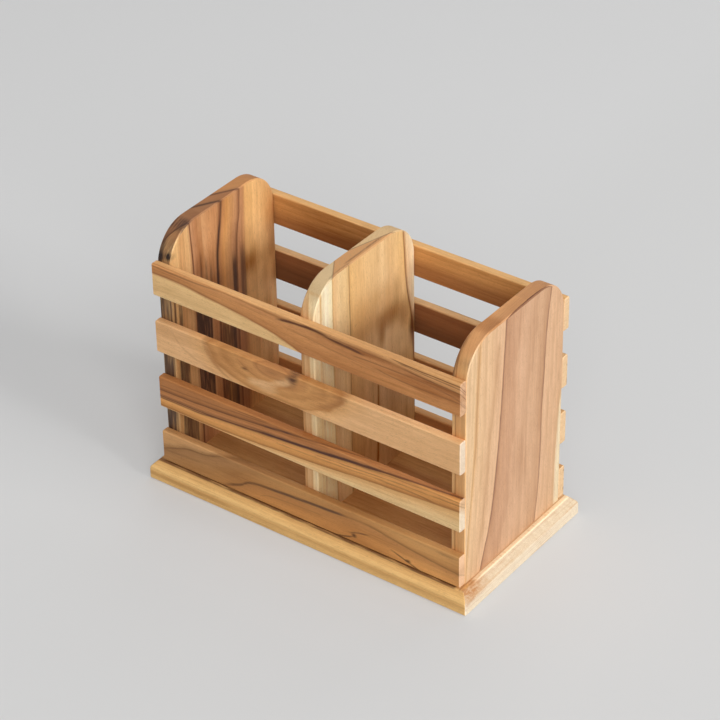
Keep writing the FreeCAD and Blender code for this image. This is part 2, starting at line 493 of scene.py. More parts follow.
def teak(wood, grain, side, lines, tones, ends, rings=3.0, late_depth=0.10, reach=None,
         dark=(), shades=(), stains=(), end_axis=2, end_from=(0.45, 0.80), wear_and_highlight=0.16):
    """Fills one finish. Tones and ends are stops, as (ring count, red, green, blue)."""
    along, across, depth = grain
    reach = side if reach is None else reach
    drawn = [line if isinstance(line, float) else traced(along, line) for line in lines]
    count = ring_count(reach, drawn)
    last = len(lines) - 1.0
    ramp = [(ring / last, tint(*parts)) for ring, *parts in tones]
    end_ramp = [(ring / last, tint(*parts)) for ring, *parts in ends]
    colour = wood.node("ShaderNodeValToRGB", {"stops": ramp}, {"Fac": count / last})
    end_colour = wood.node("ShaderNodeValToRGB", {"stops": end_ramp}, {"Fac": count / last})
    end = wood.facing(end_axis).rise(*end_from)
    colour = wood.blend(end, colour, end_colour)

    # From slow clouds to single fibres and pores, each layer is finer than the one before.
    blotch = wood.noise(along / 42.0, across / 16.0, depth / 16.0, 3.1) - 0.5
    mottle = wood.noise(along / 11.0, across / 4.0, depth / 4.0, 4.3, 3.0) - 0.5
    stripe = wood.noise(along / 75.0, side / 1.9, depth / 1.9, 5.7, 3.0) - 0.5
    thread = wood.noise(along / 48.0, side / 0.75, depth / 0.75, 6.9).rise(0.54, 0.74)
    fibre = wood.noise(along / 6.0, side / 0.42, depth / 0.42, 8.3) - 0.5
    late = (count * rings + blotch * 0.9 + stripe * 0.45).fraction().rise(0.35, 1.0)
    dashes = wood.noise(along / 2.2, side / 0.20, depth / 0.20, 14.2, 1.0)
    pores = dashes.rise(0.58, 0.70) * (1.0 - late * 0.6)

    # The layers are added up and deepen the tone in one step.
    amount = late * late_depth + thread * 0.13 - blotch * 0.20 - mottle * 0.20 - stripe * 0.42
    amount = amount * (1.0 - end * 0.5) - fibre * 0.36
    for mask, strength in shades:
        amount = amount + mask * strength
    colour = wood.deepened(colour, amount)
    # Drawn lines and stains are broken up along the grain, so that they sit in the wood.
    gaps = wood.noise(along / 14.0, side / 1.4, depth / 1.4, 11.9, 3.0).rise(0.25, 0.55)
    broken = gaps * 0.6 + 0.4
    for index, strength, before, after in dark:
        offset = reach - drawn[index]
        inked = offset.rise(-before, 0.0) * offset.fall(0.0, after) * strength
        colour = wood.blend(inked * broken, colour, LINE_TONE)
    for mask, strength, tone in stains:
        colour = wood.blend(mask * strength * broken, colour, tone)
    colour = wood.blend(pores * 0.32, colour, PORE_TONE)

    # A surface that faces none of the board's own directions is a sanded arris.
    any_face = wood.facing(0).at_least(wood.facing(1)).at_least(wood.facing(2))
    wide_face = wood.facing(0) if end_axis == 2 else any_face
    arris = window(wide_face, 0.22, 0.90, 0.07)
    # The arrises are paler for wear and also as a painted highlight along the edges.
    colour = wood.deepened(colour, arris * -wear_and_highlight)
    wood.feed(wood.surface.inputs["Base Color"], colour)

    rough = 0.55 + fibre * 0.24 + pores * 0.15 + stripe * 0.15 + end * 0.10 - arris * 0.10
    wood.feed(wood.surface.inputs["Roughness"], rough)
    wood.surface.inputs["Specular IOR Level"].default_value = 0.3
    relief = fibre * 0.7 - pores * 0.6 - late * 0.2
    sockets = {"Height": relief, "Strength": 0.6, "Distance": 0.0001}
    wood.feed(wood.surface.inputs["Normal"], wood.node("ShaderNodeBump", {}, sockets))


# %% [markdown]
# ## Right end board
# This board is sawn near the outside of the log, so its rings lie almost flat in it. Where they
# come to the outer face they leave a broad pinkish lens with a line on each side, and on the top
# end the same two lines close a shallow arc. A point inside the board is therefore followed along
# its ring, out to the face, before its tone is looked up.

# %% Draw the right end board's lines
wood = Finish("right_end_board_teak", seed=2.0)
x, y, z = wood.place()
upright = (z, y, x)
lens_middle = 12.0
arc_size = 422.0
off_middle = y - lens_middle
below_face = (right_high[0] - x).at_least(0.0)
reach_at_face = (off_middle * off_middle + below_face * arc_size).root()
followed = off_middle.sign() * reach_at_face + lens_middle
side = wavering(wood, upright, followed)
right_lines = [
    -90.0,
    -72.0,
    -51.0,
    [(14, -50.0), (51, -47.5), (85, -43.0), (111, -40.5), (148, -39.0), (178, -36.5)],
    [(14, -34.9), (26, -31.0), (42, -25.5), (61, -21.7), (98, -16.8), (141, -13.2), (178, -10.5)],
    [(14, 23.1), (57, 27.6), (92, 28.4), (124, 30.3), (144, 31.6), (178, 36.4)],
    [(14, 44.6), (60, 45.6), (95, 49.5), (112, 58.0), (178, 68.0)],
    95.0,
]
right_tones = [
    (0.0, 238, 192, 134), (0.94, 236, 186, 126), (1.0, 184, 126, 76), (1.1, 230, 172, 110),
    (1.95, 238, 184, 124), (2.02, 232, 192, 146), (2.8, 234, 194, 146),
    (3.0, 224, 172, 112), (3.1, 236, 194, 147), (3.5, 229, 185, 139), (3.93, 231, 185, 142),
    (3.985, 224, 174, 130), (4.0, 160, 106, 72), (4.03, 200, 149, 108),
    (4.2, 211, 161, 121), (4.5, 218, 171, 131), (4.8, 215, 168, 127), (4.97, 207, 159, 117),
    (5.0, 178, 126, 88), (5.03, 228, 182, 140), (5.85, 222, 176, 132),
    (5.97, 220, 174, 128), (6.03, 243, 220, 180), (6.3, 240, 214, 174),
    (7.0, 224, 184, 134),
]
right_ends = [
    (0.0, 236, 178, 122), (1.0, 214, 154, 98), (2.0, 226, 164, 108), (3.0, 214, 154, 102),
    (3.95, 208, 148, 98), (4.0, 104, 62, 40), (4.3, 130, 84, 58), (4.7, 130, 84, 58),
    (5.0, 104, 62, 40), (5.06, 205, 146, 98), (7.0, 214, 156, 104),
]
print("right end board:", len(right_lines), "lines,", len(right_tones), "tones")

# %% [markdown]
# The face of the right end board has a few slow shadows of its own and a thin grey bloom where the
# oil has dried out. Its upper edge is darker over the shoulder, with a brown line down its inner
# arris.

# %% Finish the right end board
right_shades = oval_shades(z, y, [
    ((72, 5), (28, 12), 0.16),
    ((150, -6), (34, 8), 0.07),
    ((136, 6), (26, 8), -0.08),
    ((100, 22), (40, 6), -0.05),
    ((30, 2), (26, 14), -0.09),
])
broad_shade = [(34, -35), (70, -29), (102, -26.5), (118, -24), (138, -20.5), (164, -18)]
pale_beside_line = [(14, -36.2), (42, -27.3), (61, -23.4), (98, -18.4), (178, -12.2)]
right_shades += [
    (streak(z, y, broad_shade, 4.0), 0.13),
    (streak(z, y, [(138, -20.5), (166, -18)], 1.3), 0.12),
    (streak(z, y, [(40, -39), (60, -36)], 1.5), 0.08),
    (streak(z, side, pale_beside_line, 1.2), -0.12),
    (wood.facing(2).rise(0.25, 0.5) * window(y, -29.0, -14.0, 4.0), 0.32),
]
inner_arris = x.fall(right_low[0] + 0.6, right_low[0] + 3.2) * y.fall(-40.0, -30.0)
outer_face = wood.facing(0).rise(0.8, 0.95) * x.rise(right_high[0] - 2.0, right_high[0] - 1.0)
shoulder = y.fall(-36.0, -34.0) * wood.facing(2).rise(0.3, 0.6)
right_stains = [
    (outer_face, 0.085, tint(135, 135, 142)),
    (inner_arris * z.rise(146.0, 154.0), 0.75, LINE_TONE),
    (window(z, 160.0, 168.0, 2.0) * shoulder, 0.30, LINE_TONE),
]
right_dark = [(4, 0.75, 0.5, 1.1), (5, 0.55, 0.5, 0.8), (3, 0.22, 0.8, 0.8)]
teak(wood, upright, side, right_lines, right_tones, right_ends,
     dark=right_dark, shades=right_shades, stains=right_stains)
wood.dress("right_end_board")

# %% [markdown]
# ## Divider
# The divider comes from beside the heart, with its rings running steeply through its thickness:
# one line on the right face comes out about 16 mm further back on the left face. Its front third
# is nearly white sapwood, then it turns to honey, and behind the front third it is darker towards
# the bottom.

# %% Draw the divider's lines
wood = Finish("divider_board_teak", seed=4.0)
x, y, z = wood.place()
upright = (z, y, x)
ring_slant = 1.6
side = wavering(wood, upright, y + (x - middle_high[0]) * ring_slant)
divider_lines = [
    -72.0,
    -62.0,
    -56.0,
    [(14, -45.0), (178, -43.5)],
    [(14, -31.0), (95, -32.2), (178, -31.9)],
    [(14, -15.8), (132, -15.6), (178, -15.8)],
    [(14, 26.0), (145, 26.0), (178, 24.4)],
    [(14, 50.5), (98, 48.0), (113, 46.2), (128, 43.2), (143, 41.2), (158, 40.2), (178, 38.8)],
    62.0,
    75.0,
]
divider_tones = [
    (0.0, 206, 150, 96), (0.9, 216, 162, 106), (1.0, 238, 192, 138), (1.9, 224, 172, 116),
    (2.0, 248, 214, 160), (2.9, 253, 232, 190), (3.0, 238, 202, 142), (3.1, 254, 238, 196),
    (3.5, 254, 242, 208), (3.97, 252, 236, 188), (4.0, 222, 174, 112), (4.1, 240, 198, 142),
    (4.5, 247, 212, 156), (4.96, 244, 206, 146), (5.0, 198, 144, 84), (5.03, 240, 194, 128),
    (5.3, 243, 198, 136), (5.85, 247, 208, 152), (6.0, 238, 194, 136), (6.3, 246, 204, 144),
    (6.94, 242, 198, 134), (7.0, 182, 124, 66), (7.1, 246, 212, 164), (7.5, 249, 228, 192),
    (8.0, 240, 204, 154), (9.0, 228, 184, 128),
]
divider_ends = [
    (0.0, 208, 172, 122), (3.9, 226, 196, 150), (4.0, 120, 74, 44), (4.2, 186, 124, 76),
    (4.9, 196, 136, 86), (5.0, 130, 82, 50), (5.2, 196, 138, 88), (6.0, 214, 160, 106),
    (7.0, 222, 176, 122), (9.0, 214, 170, 120),
]
print("divider:", len(divider_lines), "lines,", len(divider_tones), "tones")

# %% [markdown]
# The divider's top shows how the rings pass through it: a brown wedge of heartwood between two
# slanted lines, with cream sapwood in front of it and behind it. Each line is where a slanted plane
# cuts the top, so one sum of x and y says how far a point lies past it.

# %% Draw the divider's top
top_end = wood.facing(2).rise(0.45, 0.80) * z.rise(150.0, 155.0)
wedge_slant = 3.5
line_slant = 1.5
past_wedge = y + 5.0 - (x - middle_low[0]) * wedge_slant
pale_wedge = top_end * past_wedge.rise(-1.0, 2.0)
wedge_edge = top_end * abs(past_wedge).fall(0.0, 2.6)
past_line = y + 31.0 - (middle_high[0] - x) * line_slant
brown_end = top_end * past_line.rise(-0.6, 0.6) * past_wedge.fall(-2.0, 0.0)
line_end = top_end * abs(past_line).fall(0.1, 1.0)
past_ring = x - middle_high[0] + 2.6
ring_end = top_end * window(y, -15.0, 20.0, 3.0) * abs(past_ring).fall(0.0, 1.1)
near_right = x.rise(middle_high[0] - 2.4, middle_high[0] - 0.8)
arris_line = top_end * window(y, -33.0, -14.0, 1.5) * near_right
print("divider top: wedge and lines drawn with", len(wood.tree.nodes), "nodes so far")

# %% [markdown]
# Down its face the divider has darker brown clouds behind the middle, about halfway down. Its
# front sapwood is painted paler and yellower towards the base: painted light, for the light that
# comes in there between the slats. Clouds are ovals laid over each other, because real ones have no
# edge.

# %% Finish the divider
# Painted light: the lower front of the face is made paler and more yellow, for light coming in
# between the slats.
painted_light_low_front = z.fall(90.0, 150.0) * y.fall(-34.0, -30.0) * (1.0 - wood.facing(1))
divider_shades = oval_shades(z, y, [
    ((112, 16.5), (14, 6), 0.55),
    ((122, 29), (13, 14), 0.52),
    ((122, 16), (11, 9), 0.32),
    ((99, 36), (9, 7), 0.26),
    ((137, 32), (16, 6), 0.30),
    ((126, 4), (10, 16), 0.10),
    ((100, 48), (18, 6), 0.55),
])
divider_shades += [
    (window(z, 0.0, 100.0, 16.0) * y.rise(-16.0, -14.0), 0.14),
    (painted_light_low_front, -0.14),
    (window(z, 0.0, 62.0, 12.0) * y.rise(-16.0, -14.0), 0.14),
    (streak(z, y, [(20, 10.5), (50, 11.5), (80, 12)], 1.7), 0.45),
    (window(z, 92.0, 112.0, 6.0) * window(y, 19.0, 40.0, 3.0), -0.20),
]
sap_line = streak(z, y, [(14, -42.0), (120, -42.5), (178, -43.5)], 1.2)
warm_brown = tint(168, 104, 50)
divider_stains = [
    (painted_light_low_front, 0.75, tint(255, 226, 160)),
    (sap_line, 0.35, tint(206, 150, 84)),
    (top_end * y.rise(-40.0, -36.0), 0.85, tint(224, 192, 146)),
    (brown_end, 0.90, tint(216, 156, 100)),
    (line_end, 0.55, LINE_TONE),
    (ring_end, 0.60, LINE_TONE),
    (pale_wedge, 0.80, tint(232, 194, 142)),
    (wedge_edge, 0.60, LINE_TONE),
    (arris_line, 0.35, HEART_TONE),
    (oval(z, y, (122, 19), (12, 12)), 0.50, warm_brown),
    (oval(z, y, (114, 38), (16, 9)), 0.45, warm_brown),
    (oval(z, y, (103, 47.5), (13, 5)), 0.85, tint(112, 66, 34)),
    # Painted light: this orange band is the warm light along the soft edge of the window's light.
    (window(z, 119.0, 146.0, 7.0) * window(y, -12.0, 26.0, 6.0), 0.30, tint(226, 160, 78)),
]
divider_dark = [(5, 0.45, 0.6, 0.9), (7, 0.60, 1.2, 0.7), (4, 0.25, 0.4, 0.8)]
teak(wood, upright, side, divider_lines, divider_tones, divider_ends, late_depth=0.06,
     dark=divider_dark, shades=divider_shades, stains=divider_stains, wear_and_highlight=0.02)
wood.dress("divider_board")

# %% [markdown]
# ## Left end board
# The left end board is the wild one: golden wood with broad, nearly black streaks, as teak has
# near its heart. Its rings also cross the thickness at a slant, the other way round.

# %% Draw the left end board's lines
wood = Finish("left_end_board_teak", seed=6.0)
x, y, z = wood.place()
upright = (z, y, x)
ring_slant = 1.7
side = wavering(wood, upright, y - (x - left_high[0]) * ring_slant)
left_lines = [
    -51.0,
    [(14, -42.0), (178, -40.0)],
    [(14, -28.0), (100, -28.5), (145, -29.7), (178, -31.3)],
    [(14, -15.0), (100, -15.0), (140, -18.0), (178, -20.0)],
    [(14, -6.0), (128, -7.0), (138, -6.8), (148, -5.8), (156, -4.5), (166, -2.5), (178, -1.0)],
    [(14, 12.0), (138, 12.3), (153, 14.0), (163, 16.0), (178, 16.7)],
    [(14, 21.0), (144, 21.5), (178, 22.0)],
    52.0,
    70.0,
]
left_tones = [
    (0.0, 228, 176, 116), (0.7, 240, 194, 132), (1.0, 226, 172, 114), (1.7, 240, 192, 132),
    (1.96, 200, 146, 100), (2.0, 120, 80, 52), (2.1, 208, 152, 108), (2.5, 202, 142, 94),
    (3.0, 224, 168, 116), (3.4, 210, 150, 98), (3.8, 208, 148, 98), (3.96, 150, 98, 62),
    (4.02, 96, 62, 42), (4.12, 200, 136, 84), (4.35, 226, 164, 98), (4.6, 218, 160, 104),
    (4.85, 198, 142, 98), (5.0, 146, 98, 64), (5.15, 208, 150, 104), (5.6, 196, 138, 92),
    (5.9, 222, 164, 106), (6.0, 238, 182, 116), (6.15, 246, 192, 124), (6.5, 248, 195, 130),
    (6.8, 232, 176, 114), (7.0, 214, 160, 106), (8.0, 186, 136, 92),
]
left_ends = [
    (0.0, 110, 72, 46), (1.0, 176, 124, 80), (1.9, 190, 136, 88), (2.0, 80, 50, 34),
    (2.2, 150, 102, 68), (3.8, 168, 116, 76), (4.0, 72, 46, 32), (4.2, 170, 116, 74),
    (4.8, 176, 120, 78), (5.0, 96, 62, 42), (5.3, 182, 126, 82), (6.1, 204, 142, 88),
    (8.0, 186, 128, 80),
]
left_shades = oval_shades(z, y, [
    # Painted shade: the first two ovals deepen the shade under the edge of the window's light.
    ((122, 27), (15, 13), 0.42),
    ((140, 48), (36, 10), 0.34),
    ((160, 40), (30, 14), 0.08),
    ((121, 22), (12, 9), 0.22),
    ((120, 45), (14, 8), 0.20),
    ((102, 38), (12, 7), 0.20),
    ((152, -22), (20, 4), 0.14),
    ((150, 1), (20, 4), -0.10),
])
left_shades += [
    (window(z, 112.0, 148.0, 9.0) * window(y, -28.0, -9.0, 3.0), 0.22),
    (window(z, 36.0, 94.0, 6.0) * y.rise(42.0, 46.0), -0.45),
    (window(z, 140.0, 185.0, 6.0) * window(y, -26.0, -19.0, 1.5), 0.12),
    (window(z, 128.0, 172.0, 6.0) * window(y, -17.0, -8.0, 1.5), -0.12),
]
print("left end board:", len(left_lines), "lines,", len(left_shades), "shades")

# %% [markdown]
# Heart streaks end abruptly where a fault in the log ended, so they are bands with a length and
# two edges. The front edge is nearly black at its outer side, the shoulder above it is streaked,
# and a small dark knot has its two halves at the front corner.

# %% Finish the left end board
left_bands = [
    ((32, 116), (-28.5, -14.5), 0.96),
    ((14, 93), (-5.0, 8.5), 0.74),
    ((22, 84), (6.0, 8.8), 0.72),
    ((14, 90), (-46.4, -38.0), 0.80),
    ((58, 90), (-47.0, -45.2), 0.80),
    ((102, 133), (7.6, 11.4), 0.88),
    ((96, 136), (15.4, 20.4), 0.58),
    ((14, 50), (9.0, 29.0), 0.25),
    ((14, 46), (-38.0, -32.5), 0.70),
    ((108, 134), (-49.6, -47.6), 0.85),
    ((104, 128), (-45.0, -42.2), 0.78),
    ((112, 150), (-23.2, -21.2), 0.50),
    ((110, 144), (-18.2, -16.8), 0.55),
    ((108, 138), (-14.2, -12.4), 0.55),
]
left_stains = []
for length, edges, strength in left_bands:
    left_stains.append((band(z, side, length, edges), strength, HEART_TONE))
heart_line = streak(z, side, [(112, -7.2), (138, -6.8), (148, -5.8), (156, -4.5), (164, -2.9)], 1.7)
front_edge = wood.facing(1).rise(0.5, 0.9)
shoulder = wood.facing(2).rise(0.30, 0.55) * window(y, -39.0, -29.0, 3.0)
shoulder_streaks = wood.noise(y / 20.0, x / 1.3, z / 40.0, 1.7, 3.0)
front_corner = y.fall(-47.0, -43.5)
knot_tone = tint(40, 26, 22)
left_stains += [
    (heart_line, 0.85, HEART_TONE),
    (front_edge, 0.60, HEART_TONE),
    (front_edge * x.fall(left_low[0] + 2.5, left_low[0] + 4.5), 0.75, tint(52, 34, 28)),
    (shoulder * shoulder_streaks.rise(0.38, 0.54), 0.85, HEART_TONE),
    (oval(z, x, (160.5, left_low[0] + 1.5), (4.5, 4.2)) * front_corner, 1.60, knot_tone),
    (oval(z, x, (162.0, left_low[0] + 7.5), (3.6, 3.6)) * front_corner, 1.50, knot_tone),
]
left_dark = [(2, 0.80, 0.6, 0.8), (5, 0.55, 0.7, 0.7)]
teak(wood, upright, side, left_lines, left_tones, left_ends,
     dark=left_dark, shades=left_shades, stains=left_stains)
wood.dress("left_end_board")

# %% [markdown]
# ## Front slats
# Each slat is a thin strip with its grain along the caddy. On the slats, the first measure runs
# along from the left end, the second one down from the top edge and the third one in from the
# outer face. Lines slant into the slat's thickness and are carried over the top arris, so the
# narrow top face matches the front.

# %% Take a slat in hand
def slat_wood(node, slant, seed):
    """A slat's finish, its grain in millimetres, and the place across its rings."""
    low, high = faces_of(node)
    wood = Finish(node + "_teak", seed)
    x, y, z = wood.place()
    outer = low[1] if low[1] < 0 else high[1]
    grain = (x - low[0], high[2] - z, abs(y - outer))
    return wood, grain, wavering(wood, grain, grain[1] - grain[2] * slant)


slat_low, slat_high = faces_of("front_slat_1")
slat_length = slat_high[0] - slat_low[0]
print("slats are", round(slat_length, 1), "mm long")

# %% [markdown]
# The top slat is plain golden teak on its left. A brown line crosses its middle, and the wood to
# the right of it is deeper and full of fine dark streaks.

# %% Top front slat
wood, grain, side = slat_wood("front_slat_1", slant=1.2, seed=11.0)
along, down, inwards = grain
slat_lines = [
    -7.0,
    [(0, -1), (60, 1), (98, 2.6), (112, 2.2), (125, 2.6), (138, 4.0), (155, 3.2), (185, 4.6),
     (205, 6.5), (224, 8)],
    [(0, 6.2), (20, 6.4), (40, 8.6), (60, 10.6), (80, 13), (95, 16), (105, 19), (115, 23),
     (135, 28), (224, 34)],
    44.0,
]
slat_tones = [
    (0.0, 244, 190, 128), (0.8, 236, 176, 114), (1.0, 196, 132, 78), (1.1, 226, 160, 100),
    (1.5, 222, 154, 92), (1.9, 206, 140, 82), (1.99, 184, 118, 66), (2.04, 252, 206, 142),
    (2.4, 254, 210, 148), (2.7, 240, 184, 120), (3.0, 222, 158, 96),
]
ink = tint(108, 64, 36)
fine_streaks = wood.noise(along / 70.0, side / 1.5, inwards / 3.0, 0.6, 3.0)
slat_shades = oval_shades(along, down, [
    ((150, 5), (48, 5), 0.20),
    ((205, 10), (50, 7), 0.26),
    ((10, 3), (34, 5), 0.16),
    ((6, 17), (30, 6), 0.07),
])
slat_shades += [
    (along.rise(105.0, 150.0), 0.16),
    (along.rise(110.0, 170.0) * (fine_streaks - 0.5), 0.55),
]
slat_stains = streak_stains(along, side, ink, [
    ([(96, 3.8), (104, 2.8), (116, 2.2), (122, 2.0)], 1.3, 1.10),
    ([(114, 1.6), (124, 2.4), (134, 3.8), (146, 4.6), (156, 5.4)], 1.3, 1.10),
    ([(122, 1.2), (150, 3.0), (176, 3.4)], 0.7, 0.40),
    ([(176, 0.4), (190, 1.2), (206, 1.4), (226, 1.9)], 0.6, 0.85),
    ([(186, 4.4), (204, 5.6), (226, 6.6)], 0.7, 0.65),
    ([(150, 9.0), (186, 8.0), (226, 12.0)], 0.9, 0.40),
    ([(182, 1.6), (200, 2.6), (226, 3.6)], 0.6, 0.60),
    ([(166, 11.6), (190, 13.4), (226, 12.8)], 0.8, 0.45),
    ([(108, 8.6), (140, 11.4), (172, 13.4)], 0.7, 0.25),
    ([(0, 1.0), (24, 1.8), (50, 1.2)], 0.8, 0.40),
    ([(0, 5.8), (8, 5.6), (22, 6.0), (44, 8.4), (66, 10.6)], 0.8, 0.30),
])
teak(wood, grain, side, slat_lines, slat_tones, [(0.0, 224, 180, 142)],
     shades=slat_shades, stains=slat_stains, end_axis=0)
wood.dress("front_slat_1")

# %% [markdown]
# The second slat was sawn through the wood beside a knot. The rings bend round it, so they are
# counted by distance from the knot instead of by lines, on an oval much longer than it is high.

# %% Second front slat
wood, grain, side = slat_wood("front_slat_2", slant=0.5, seed=13.0)
along, down, inwards = grain
warp = wood.noise(along / 16.0, down / 7.0, inwards / 7.0, -0.6) - 0.5
knot_long = (along - 90.0 + warp * 14.0) / 2.5
knot_down = down - 2.0 - inwards * 0.8 + warp * 4.0
knot_reach = (knot_long * knot_long + knot_down * knot_down).root()
slat_lines = [0.0, 5.0, 10.0, 15.0, 20.0, 27.0, 60.0]
slat_tones = [
    (0.0, 204, 140, 84), (0.9, 214, 150, 90), (1.0, 198, 134, 78), (1.3, 226, 162, 98),
    (2.0, 214, 150, 88), (2.4, 224, 162, 98), (3.0, 210, 148, 86), (3.4, 226, 164, 100),
    (3.95, 204, 142, 82), (4.12, 236, 178, 116), (4.6, 246, 190, 130), (5.0, 249, 195, 138),
    (6.0, 250, 196, 138),
]
slat_shades = oval_shades(along, down, [
    ((8, 5), (34, 9), 0.16),
    ((54, 8), (18, 14), 0.16),
    ((134, 5), (12, 10), 0.10),
    ((215, 19), (36, 6), 0.06),
    ((128, 18), (26, 5), -0.14),
    ((92, 8), (10, 5), -0.10),
])
knot_x = along + warp * 9.0
knot_y = down + warp * 4.0
pale = tint(252, 202, 146)
bent_tone = tint(176, 118, 68)
right_bend = [(-2.0, 142.0), (5.0, 139.5), (10.0, 133.0), (15.0, 124.0)]
left_bend = [(-2.0, 38.0), (7.0, 40.5), (15.0, 47.0), (21.0, 58.0)]
corner_line = [(14, 4.0), (20, 11.0), (30, 16.0), (46, 20.0)]
slat_stains = [
    (oval(knot_x, knot_y, (95, 5), (30, 15)), 0.35, tint(186, 128, 76)),
    (oval(knot_x, knot_y, (99.5, 8.0), (9, 3.6)), 0.55, tint(146, 94, 56)),
    (oval(knot_x, knot_y, (90.0, 3.5), (7, 2.6)), 0.35, tint(160, 106, 62)),
    (streak(knot_x, knot_y, [(72, 16.0), (84, 13.4), (94, 9.4), (103, 5.0)], 3.6), 0.75, pale),
    (oval(knot_x, knot_y, (85, 16.5), (12, 4.6)), 0.75, pale),
    (oval(knot_x, knot_y, (105.0, 2.4), (6.5, 6.5)), 1.10, tint(106, 68, 44)),
    (oval(knot_x, knot_y, (69, 8.3), (4.6, 2.6)), 0.95, tint(128, 80, 44)),
    (streak(down, along, right_bend, 5.0), 0.55, bent_tone),
    (streak(along, down, corner_line, 1.6), 0.35, tint(200, 140, 90)),
    (streak(along, down, [(64, 4.0), (70, 8.0), (78, 11.0)], 0.8), 0.40, tint(160, 104, 58)),
    (streak(down, along, left_bend, 3.4), 0.50, bent_tone),
    (streak(along, down, [(120, 6.0), (128, 4.0), (142, 2.0)], 1.4), 0.35, bent_tone),
]
teak(wood, grain, side, slat_lines, slat_tones, [(0.0, 232, 210, 184)], rings=1.0,
     late_depth=0.03, reach=knot_reach, shades=slat_shades, stains=slat_stains, end_axis=0)
wood.dress("front_slat_2")

# %% [markdown]
# The third slat shows straight stripes that climb to the right, with one strong dark line and a
# wedge of cream sapwood below.

# %% Third front slat
wood, grain, side = slat_wood("front_slat_3", slant=0.8, seed=17.0)
along, down, inwards = grain
slat_lines = [
    -12.0,
    [(0, 9.5), (50, 7.3), (90, 3.4), (115, 0.8), (150, -3), (224, -10)],
    [(0, 14.5), (35, 13.6), (70, 11), (100, 8.3), (130, 5.5), (160, 2.6), (180, 0.5), (224, -3)],
    [(0, 20.8), (60, 20.3), (110, 17), (150, 13), (190, 10), (224, 7)],
    [(0, 30), (90, 24), (224, 18)],
    40.0,
]
slat_tones = [
    (0.0, 206, 146, 88), (0.5, 196, 130, 74), (0.9, 188, 124, 70), (1.0, 140, 88, 48),
    (1.1, 196, 130, 74), (1.5, 204, 138, 82), (1.85, 184, 122, 72), (2.0, 104, 64, 44),
    (2.08, 206, 142, 80), (2.3, 242, 174, 102), (2.6, 240, 172, 98), (2.85, 220, 154, 86),
    (3.0, 186, 124, 68), (3.08, 236, 182, 116), (3.4, 252, 202, 138), (4.0, 255, 216, 156),
    (5.0, 240, 190, 128),
]
slat_shades = oval_shades(along, down, [
    ((110, 3), (62, 4), 0.16),
    ((205, 4), (36, 6), 0.14),
    ((12, 20), (40, 5), 0.10),
])
slat_stains = streak_stains(along, side, ink, [
    ([(0, 13.2), (30, 12.6), (70, 9.6), (100, 6.8)], 0.6, 0.45),
    ([(0, 6.0), (40, 4.4), (84, 1.4)], 0.7, 0.40),
    ([(0, 9.6), (30, 8.4), (60, 6.5), (88, 3.6)], 1.0, 0.45),
])
slat_stains += streak_stains(along, side, tint(84, 50, 40), [
    ([(78, 10.4), (104, 7.8), (136, 4.6), (168, 1.4)], 1.7, 1.05),
    ([(82, 4.2), (92, 3.0), (102, 2.0)], 1.2, 0.80),
])
slat_stains += streak_stains(along, side, ink, [
    ([(0, 15.5), (34, 14.8), (40, 14.0)], 0.8, 0.80),
    ([(36, 14.0), (60, 12.2), (84, 9.9)], 1.0, 0.80),
    ([(150, 3.0), (172, 1.2), (190, -0.4)], 1.2, 0.80),
    ([(60, 1.6), (84, 0.4)], 0.5, 0.50),
    ([(120, 9.5), (170, 6.0), (226, 3.0)], 0.8, 0.40),
    ([(90, 13.4), (130, 10.8), (170, 8.0)], 0.8, 0.30),
    ([(150, 4.6), (190, 2.2), (226, 1.0)], 0.7, 0.30),
    ([(170, 8.6), (190, 7.6), (205, 8.0)], 0.8, 0.45),
])
slat_ends = [
    (0.0, 226, 184, 144), (1.9, 226, 184, 144), (2.6, 226, 188, 146), (3.2, 236, 216, 188),
    (5.0, 236, 216, 188),
]
teak(wood, grain, side, slat_lines, slat_tones, slat_ends,
     shades=slat_shades, stains=slat_stains, end_axis=0)
wood.dress("front_slat_3")

# %% [markdown]
# The lowest slat is flat sawn: its rings close to a low arch that runs the whole length.

# %% Lowest front slat
wood, grain, side = slat_wood("front_slat_4", slant=0.6, seed=19.0)
along, down, inwards = grain
slat_lines = [
    -14.0,
    [(0, 13), (14, 8.5), (20, 6.2), (32, 5.0), (45, 1), (70, -4), (224, -12)],
    [(0, 40), (30, 30), (48, 22), (60, 17), (72, 10.5), (90, 8.8), (110, 7.5), (140, 5.6),
     (158, 4.8), (175, 7.4), (200, 10.4), (224, 12.5)],
    [(0, 60), (60, 36), (100, 28), (130, 26), (180, 27), (224, 34)],
    70.0,
]
slat_tones = [
    (0.0, 214, 156, 98), (0.8, 226, 172, 114), (1.0, 170, 122, 74), (1.12, 184, 134, 84),
    (1.5, 188, 134, 78), (1.9, 196, 138, 78), (2.0, 172, 118, 66), (2.06, 196, 136, 78),
    (2.5, 214, 148, 82), (3.0, 208, 142, 76), (4.0, 200, 138, 76),
]
slat_shades = oval_shades(along, down, [
    ((200, 3), (74, 11), -0.50),
    ((208, 18), (50, 10), -0.40),
    ((106, 3), (44, 8), -0.24),
    ((62, 8), (26, 10), 0.12),
    ((150, 17), (14, 7), 0.12),
    ((58, 14), (16, 10), 0.10),
])
slat_shades.append((down.fall(0.2, 0.8), 0.12))
line_tone = tint(110, 72, 40)
slat_stains = streak_stains(along, side, line_tone, [
    ([(52, 19.6), (60, 16.6), (72, 10.4), (90, 8.8), (112, 7.4), (136, 5.8)], 1.5, 0.75),
])
slat_stains += streak_stains(along, side, tint(96, 66, 50), [
    ([(86, 9.0), (110, 7.5), (140, 5.6)], 1.6, 0.70),
])
slat_stains += streak_stains(along, side, line_tone, [
    ([(158, 4.9), (176, 7.4), (200, 10.4), (226, 12.6)], 0.8, 0.30),
    ([(0, 13.6), (12, 9.0), (20, 6.2), (34, 4.6), (46, 0.8)], 0.9, 0.45),
])
